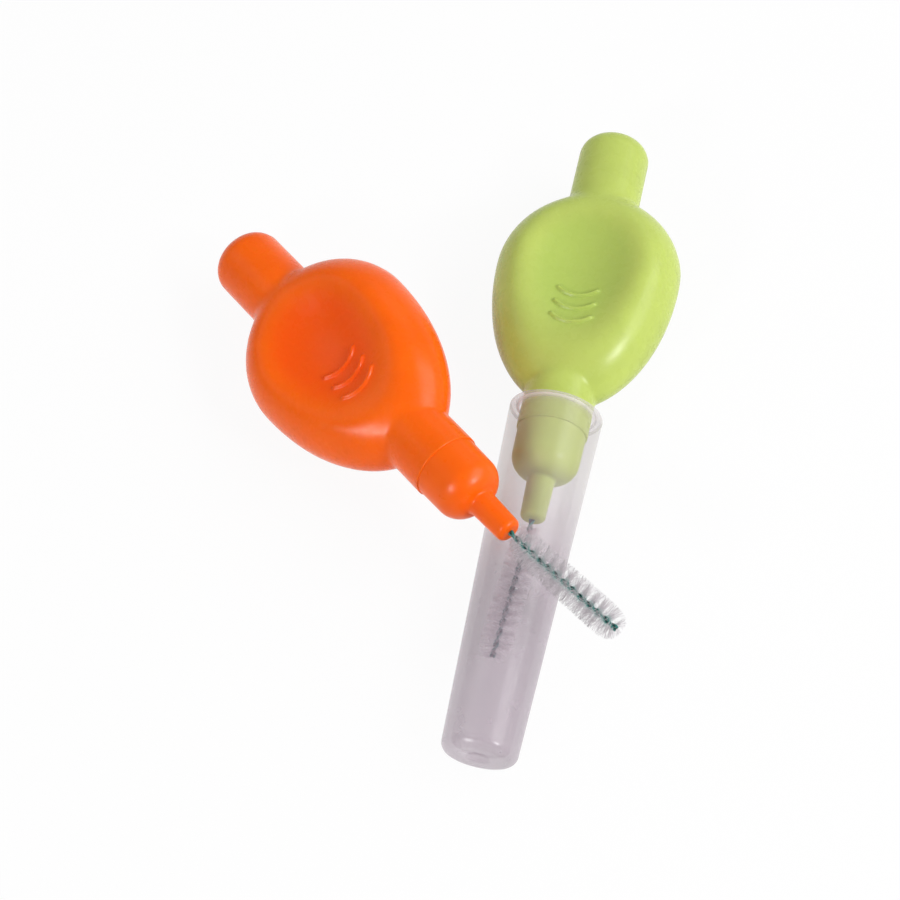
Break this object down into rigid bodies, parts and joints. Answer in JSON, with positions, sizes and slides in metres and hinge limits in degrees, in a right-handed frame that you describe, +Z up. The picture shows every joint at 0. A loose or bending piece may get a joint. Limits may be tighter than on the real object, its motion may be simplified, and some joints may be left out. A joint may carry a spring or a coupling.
{
  "type": "interdental brush pair",
  "caption": "Soft-grip interdental brush in its long frosted travel cap, with a bare one of another colour lying across it; twisted wire stems, nylon bristles, pull-off cap.",
  "frame": {"origin": "middle of the pair's footprint, on the floor", "axes": "+Y along the capped brush from its cap toward its tail, +Z up"},
  "size_m": [0.0522, 0.0764, 0.0162],
  "materials": {
    "lime_grip": "satin",
    "lime_nose": "gloss",
    "orange_grip": "satin",
    "orange_nose": "gloss",
    "coated_wire": "satin",
    "nylon": "translucent",
    "frosted_cap": "frosted, translucent"
  },
  "bodies": {
    "capped_brush": {"capped_grip": "lime_grip", "capped_nose": "lime_nose", "capped_stem": "coated_wire", "capped_bristles": "nylon"},
    "cap": {"travel_cap": "frosted_cap"},
    "open_brush": {"open_grip": "orange_grip", "open_nose": "orange_nose", "open_stem": "coated_wire", "open_bristles": "nylon"}
  },
  "joints": [
    {"name": "cap_pull", "type": "slide", "parent": "capped_brush", "child": "cap", "axis": [0, -0.999, -0.0456], "range_m": [0, 0.034]},
    {"name": "open_lift", "type": "slide", "parent": "capped_brush", "child": "open_brush", "axis": [0, 0, 1], "range_m": [0, 0.05]}
  ]
}
